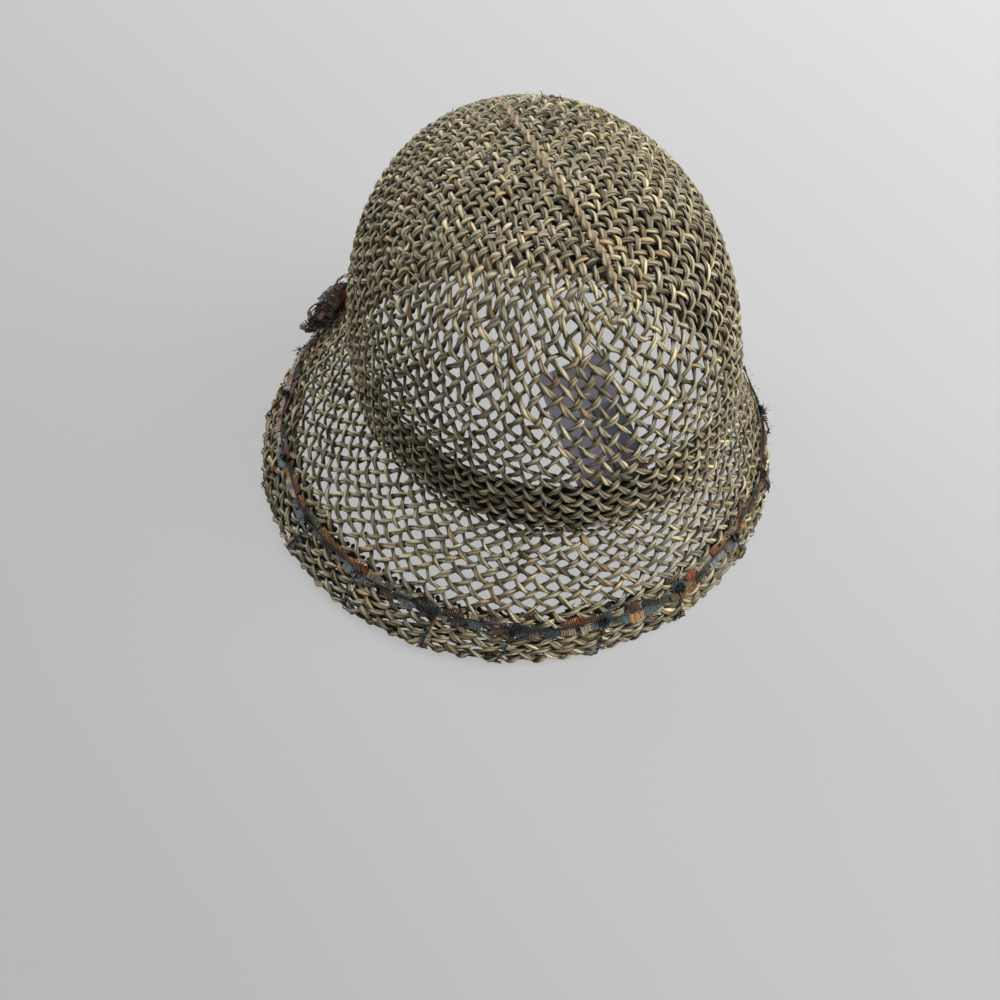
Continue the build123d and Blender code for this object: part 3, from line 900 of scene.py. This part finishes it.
PETAL_YARN = {"width": 5.0 * MM, "cover": 1, "run": (4, 9)}
OUTER_LOOPS, INNER_LOOPS = 18, 14
OUTER_LOOP = np.array([(3, 0, 2.4), (9, -3.4, 4.0), (17, -3.6, 5.4), (20.5, 0, 6.6), (17, 3.6, 6.8),
                       (9, 3.2, 6.0), (3, 0.6, 3.6)])
INNER_LOOP = np.array([(2.6, -0.6, 2.4), (3.4, -1.4, 6.5), (6.0, -1.0, 10.6), (10.4, 0, 11.2),
                       (13.0, 1.0, 7.6), (10.4, 1.2, 3.6), (4.0, 0.8, 2.2)])
LONG_LOOP = np.array([(-4, 19, 2.6), (-10, 16, 6.5), (-14, 8, 10.0), (-15, -2, 11.0), (-12, -11, 8.5),
                      (-6, -17, 3.4)])


def make_outer_loops(rng, brim):
    """Larger loops, and the longest one, which stands off in an arc with cut tabs outside it."""
    bag = Bag()
    for index in range(OUTER_LOOPS):
        turn = 2 * math.pi * (index + 0.5) / OUTER_LOOPS
        jitter = rng.uniform(-1.0, 1.0, OUTER_LOOP.shape)
        size = rng.uniform(0.72, 0.95)
        loop = OUTER_LOOP * [size, 0.9, rng.uniform(0.6, 1.2)] + jitter
        loop[:, 2] = np.maximum(loop[:, 2], 2.0)
        path = spline(in_frame(brim, turned(loop, turn)), 8)
        around = np.cross(brim[3], unit(np.gradient(path, axis=0)))
        add_ladder(bag, rng, path, unit(around + rng.uniform(0.2, 1.5) * brim[3]), **PETAL_YARN)
    path = spline(in_frame(brim, LONG_LOOP * MM), 8)
    add_ladder(bag, rng, path, brim[3], width=6.0 * MM, cover=0.55, run=(4, 7))
    bag.build("rosette_outer", LADDER, "rosette_outer_loops", smooth=False)


def make_inner_loops(rng, brim):
    bag = Bag()
    for index in range(INNER_LOOPS):
        turn = 2 * math.pi * index / INNER_LOOPS + rng.uniform(-0.2, 0.2)
        jitter = rng.uniform(-0.8, 0.8, INNER_LOOP.shape)
        loop = INNER_LOOP * rng.uniform(0.75, 1.1) + jitter
        path = spline(in_frame(brim, turned(loop, turn)), 8)
        middle = in_frame(brim, turned([(7.6, 0, 6.4)], turn)[0])
        add_ladder(bag, rng, path, unit(path - middle), **PETAL_YARN)
    bag.build("rosette_inner", LADDER, "rosette_inner_loops", smooth=False)


def make_rosette():
    rng = np.random.default_rng(RANDOM_SEED + 6)
    brim = brim_frame(math.radians(ROSETTE_AZIMUTH), ROSETTE_HEIGHT)
    make_outer_loops(rng, brim)
    make_inner_loops(rng, brim)
    knot = Bag()
    add_tangle(knot, rng, brim, 2.0 * MM, 4.2 * MM, 9)
    add_fuzz(knot, rng, in_frame(brim, np.array([0, 0, 4.5 * MM])), 1.2 * MM, 40, 3.0 * MM)
    knot.build("rosette_centre", THREAD, "rosette_centre_knot")
    ties = Bag()
    for turn in (30, 150, 270):
        at = turned([(1.1, 0, 0.3), (1.2, 0.1, 1.2), (0.9, 0, 2.6)], math.radians(turn))
        ties.add(*sweep(spline(in_frame(brim, at), 4), brim[1], round_section(0.25 * MM, 8)), RAIL_TINT)
    ties.build("rosette_ties", THREAD, "rosette_stitches")


# ---- Sweatband and care label
RIBBON_THICK = 0.7 * MM
RIBS = 520
RIB_DEPTH = 0.13 * MM
RIB_POINTS = 4
BAND_STITCHES = 60
BAND_STITCH_HEIGHT = 49.5 * MM


def make_sweatband():
    """Ribbon with upright ribs, in a closed ring inside the crown's foot."""
    columns = RIBS * RIB_POINTS
    azimuth = 2 * np.pi * np.arange(columns) / columns
    rib = np.cos(2 * np.pi * np.arange(columns) / RIB_POINTS) * RIB_DEPTH / 2
    levels = np.array([0, 0.02, 0.06, 0.25, 0.5, 0.75, 0.94, 0.98, 1.0])
    heights = band_low[2] + (band_high[2] - band_low[2]) * levels
    edge = np.array([0.18, 0.0, 0.05, 0, 0, 0, 0.05, 0.0, 0.18]) * MM
    rows = len(levels)
    loops = []
    for inset, sign, order in ((RIBBON_FACE, 1, range(rows)),
                               (RIBBON_FACE + RIBBON_THICK, -1, reversed(range(rows)))):
        for row in order:
            depth = inset + sign * edge[row] - sign * rib
            loops.append(crown_point(azimuth, np.full(columns, heights[row]), depth))
    rng = np.random.default_rng(RANDOM_SEED + 8)
    shade = wander(rng, columns, 16, 0.8, 1.25)[None, :, None] * np.ones((len(loops), 1, 1))
    # Painted shade: the grooves between the ribs are darkened.
    rib_groove_shade = np.where(rib < 0, 0.6, 1.0)[None, :, None]
    bag = Bag()
    quads = grid_quads(len(loops), columns, join_rows=True)
    bag.add(np.stack(loops), quads, (linear(30, 36, 32) * shade * rib_groove_shade).reshape(-1, 3))
    band = bag.build("sweatband_ribbon", GROSGRAIN, "sweatband")


def add_stitch(bag, azimuth, height, inset, up, tint):
    """Thread along the inner side of the ribbon. Its ends dip into the ribbon."""
    dip = np.zeros(len(azimuth))
    dip[[0, -1]], dip[[1, -2]] = 0.5 * MM, 0.15 * MM
    path = crown_point(azimuth, height, RIBBON_FACE + RIBBON_THICK + inset - dip)
    bag.add(*sweep(path, np.array(up), round_section(0.22 * MM, 8)), tint)


def make_sweatband_stitches():
    bag = Bag()
    half = 2.5 * MM / (CROWN_HALF.mean() - RIBBON_FACE)
    for index in range(BAND_STITCHES):
        azimuth = 2 * np.pi * index / BAND_STITCHES + np.linspace(-half, half, 9)
        height = np.full(9, BAND_STITCH_HEIGHT)
        add_stitch(bag, azimuth, height, 0.3 * MM, (0, 0, 1), linear(40, 44, 40))
    bag.build("sweatband_thread", THREAD, "sweatband_stitches")


LABEL_AZIMUTH = math.radians(92)
LABEL_FOOT = 54 * MM
LABEL_STAND_OFF = 3.2 * MM  # from the ribbon's inner face
LABEL_LEAN = math.radians(36)
LABEL_TILT = math.radians(8)
LABEL_WIDE, LABEL_TALL = 30.0, 62.0  # this and the next two lines in millimetres
SLATE_TOP, SLATE_SIDE = 40, -2.5  # corner of the slate part
LINE_AT, LINE_HALF = -2, 0.6  # thin dark line beside it


def label_frame():
    """Sewn edge of the label: its middle, and the directions along it, up the label and off it."""
    inset = RIBBON_FACE + RIBBON_THICK + LABEL_STAND_OFF
    height = np.full(3, LABEL_FOOT)
    turns = LABEL_AZIMUTH + np.radians([1, 0, -1])
    before, foot, after = crown_point(turns, height, inset)
    along = unit(after - before)
    inward = np.cross(along, np.array([0, 0, 1]))
    up = np.array([0, 0, 1]) * math.cos(LABEL_LEAN) + inward * math.sin(LABEL_LEAN)
    off = np.cross(along, up)
    x = along * math.cos(LABEL_TILT) - up * math.sin(LABEL_TILT)
    y = up * math.cos(LABEL_TILT) + along * math.sin(LABEL_TILT)
    return foot, x, y, off


def make_care_label():
    """Satin ribbon folded double, sewn to the sweatband along its open edge."""
    foot, x, y, off = label_frame()
    seam = [(-4.6, -2.55), (-3.2, -2.75), (-1.4, -2.2), (0.0, -0.3)]
    leaf, gap = 0.26, 0.14  # thickness of each leaf, and the space between them
    rise = np.linspace(2.0, LABEL_TALL - 0.8, 26)
    curl = 1.0 * np.sin(np.pi * rise / LABEL_TALL) + 1.2 * (rise / LABEL_TALL) ** 3
    back = [*seam, *np.stack([rise, curl - gap / 2 - leaf / 2], -1)]
    top = [(LABEL_TALL - drop, curl[-1] + shift) for drop, shift in ((0.25, -0.2), (0.05, 0), (0.25, 0.2))]
    front = [*np.stack([rise, curl + gap / 2 + leaf / 2], -1)[::-1],
             *[(up, out + leaf + 0.1) for up, out in seam[::-1]]]
    line = np.array([*back, *top, *front])
    slope = unit(np.gradient(line, axis=0))
    side = np.stack([-slope[:, 1], slope[:, 0]], -1) * leaf / 2
    across = np.linspace(-LABEL_WIDE / 2, LABEL_WIDE / 2, 31)
    cup = 0.5 * np.cos(np.pi * across / 30)[None] * np.clip(line[:, :1] / 30, 0, 1)
    rows, columns = len(line), len(across)
    sheets = []
    for sign in (1, -1):
        place = line + sign * side
        sheets.append(foot + (across[None, :, None] * x + place[:, None, :1] * y
                              + (place[:, None, 1:] + cup[..., None]) * off) * MM)
    points = np.concatenate([sheets[0].reshape(-1, 3), sheets[1].reshape(-1, 3)])
    face = grid_quads(rows, columns, join_columns=False)
    shift = rows * columns
    rim = [*range(columns), *[(k + 1) * columns - 1 for k in range(1, rows)],
           *range(shift - 2, shift - columns - 1, -1), *[k * columns for k in range(rows - 2, 0, -1)]]
    rim = np.array(rim)
    follow = np.roll(rim, -1)
    walls = np.stack([follow, rim, rim + shift, follow + shift], -1)
    grain = np.broadcast_to(np.stack(np.broadcast_arrays(across[None], line[:, :1]), -1),
                            (rows, columns, 2))
    grain = np.concatenate([grain, np.zeros((rows, columns, 1))], -1).reshape(-1, 3)
    lilac, slate, gap_line = linear(172, 166, 184), linear(112, 118, 130), linear(20, 20, 24)
    low = grain[:, 1:2] < SLATE_TOP
    tint = np.where(low & (grain[:, :1] < SLATE_SIDE), slate, lilac)
    tint = np.where(low & (np.abs(grain[:, :1] - LINE_AT) < LINE_HALF), gap_line, tint)
    bag = Bag()
    bag.add(points, np.concatenate([face[:, ::-1], face + shift, walls]), np.concatenate([tint, tint]),
            np.concatenate([grain, grain]))
    label = bag.build("care_label_satin", SATIN, "care_label", body=None)
    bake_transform(label)
    return label


def make_label_stitches():
    bag = Bag()
    inset = 0.95 * MM
    pitch = 5.0 * MM / (CROWN_HALF[1] - (RIBBON_FACE + RIBBON_THICK + inset))
    height = LABEL_FOOT - np.linspace(3.7, 1.9, 7) * MM
    for index in range(6):
        azimuth = np.full(7, LABEL_AZIMUTH + (index - 2.5) * pitch)
        add_stitch(bag, azimuth, height, inset, (0, 1, 0), linear(48, 48, 52))
    bag.build("label_thread", THREAD, "label_stitches")


make_pale_strand()
make_thread_end()
make_running_yarn()
make_edge_legs()
make_knots()
make_tails()
make_rosette()
make_sweatband()
make_sweatband_stitches()
label = make_care_label()
make_label_stitches()


# ---- Floor, light and camera
FLOOR_HALF, FLOOR_LOW = 6.0, -1.0 * MM
FLOOR_GLOW = (0.36, 0.66)  # painted light: the floor's own glow, from its darker side to its lighter side
FLOOR_SLOPE = (-0.36, -0.14, 0)  # which way the painted glow gets lighter
FLOOR_BOUNCE = 0.10  # how much of its glow lights the hat
WORLD_POWER = 0.05
WORLD_SEEN = 0.5  # what the camera sees past the floor
LIGHTS = [  # name, place, size, power
    ("window_side", (-1.3, 0.75, 1.35), 1.5, 42),
    ("window_top", (-0.1, 0.2, 2.2), 1.6, 7),
    ("room_side", (1.3, 0.9, 1.0), 1.2, 3),
    ("room_front", (1.5, -2.7, 1.25), 1.6, 66),
]


def seen_or_not(tree, seen, unseen):
    """Output that is seen for what the camera sees itself, and unseen for light on other things."""
    path = add_node(tree, "LightPath", {})
    return map_range(tree, path.outputs["Is Camera Ray"], unseen, seen)


# The floor's brightness is painted light. A glow over a dark base colour is graded across it, the camera
# sees all of it, and only FLOOR_BOUNCE of it lights the hat.
def make_stage():
    material, tree, shader = new_material("pale_glowing_floor", 0.9)
    shader.inputs["Base Color"].default_value = (0.115, 0.116, 0.116, 1)
    shader.inputs["Emission Color"].default_value = (0.99, 1.0, 0.99, 1)
    place = add_node(tree, "TexCoord", {}).outputs["Object"]
    slope = add_node(tree, "VectorMath", {0: place, 1: FLOOR_SLOPE}, operation="DOT_PRODUCT")
    glow = map_range(tree, slope.outputs["Value"], *FLOOR_GLOW, -0.1, 0.2)
    share = seen_or_not(tree, 1.0, FLOOR_BOUNCE)
    power = add_node(tree, "Math", {0: glow, 1: share}, operation="MULTIPLY")
    tree.links.new(power.outputs["Value"], shader.inputs["Emission Strength"])
    mesh = bpy.data.meshes.new("floor")
    corners = [(x * FLOOR_HALF, y * FLOOR_HALF, FLOOR_LOW) for x, y in ((-1, -1), (1, -1), (1, 1), (-1, 1))]
    mesh.from_pydata(corners, [], [(0, 1, 2, 3)])
    mesh.materials.append(material)
    floor = bpy.data.objects.new("floor", mesh)
    bpy.context.scene.collection.objects.link(floor)


def make_lights():
    world = bpy.data.worlds.new("pale_room")
    world.use_nodes = True
    tree = world.node_tree
    background = tree.nodes["Background"]
    background.inputs["Color"].default_value = (0.95, 0.97, 0.97, 1)
    tree.links.new(seen_or_not(tree, WORLD_SEEN, WORLD_POWER), background.inputs["Strength"])
    bpy.context.scene.world = world
    middle = Vector((*CROWN_CENTRE, CROWN_FOOT))
    for name, place, size, power in LIGHTS:
        lamp = bpy.data.lights.new(name, "AREA")
        lamp.size, lamp.energy = size, power
        light = bpy.data.objects.new(name, lamp)
        light.location = place
        light.rotation_euler = (middle - Vector(place)).to_track_quat("-Z", "Y").to_euler()
        bpy.context.scene.collection.objects.link(light)


def make_camera():
    """View from behind and above, turned and tipped to frame the hat off its middle."""
    azimuth, elevation = math.radians(162), math.radians(43.23)
    pan, tip, roll = math.radians(1.554), math.radians(7.443), math.radians(0.96)
    distance = 0.658
    target = Vector((*CROWN_CENTRE, 80 * MM))
    toward = Vector((math.sin(azimuth) * math.cos(elevation),
                     -math.cos(azimuth) * math.cos(elevation), math.sin(elevation)))
    right = (-toward).cross(Vector((0, 0, 1))).normalized()
    up = right.cross(-toward)
    lens = bpy.data.cameras.new("camera")
    lens.lens, lens.sensor_width = 54.0, 36.0
    lens.clip_start, lens.clip_end = 0.05, 20
    camera = bpy.data.objects.new("camera", lens)
    facing = Matrix((right, up, toward)).transposed()
    for angle, axis in ((-roll, "Z"), (pan, "Y"), (-tip, "X")):
        facing = facing @ Matrix.Rotation(angle, 3, axis)
    camera.matrix_world = Matrix.Translation(target + toward * distance) @ facing.to_4x4()
    bpy.context.scene.collection.objects.link(camera)
    bpy.context.scene.camera = camera
    bpy.context.scene.view_settings.view_transform = "Standard"


make_stage()
make_lights()
make_camera()
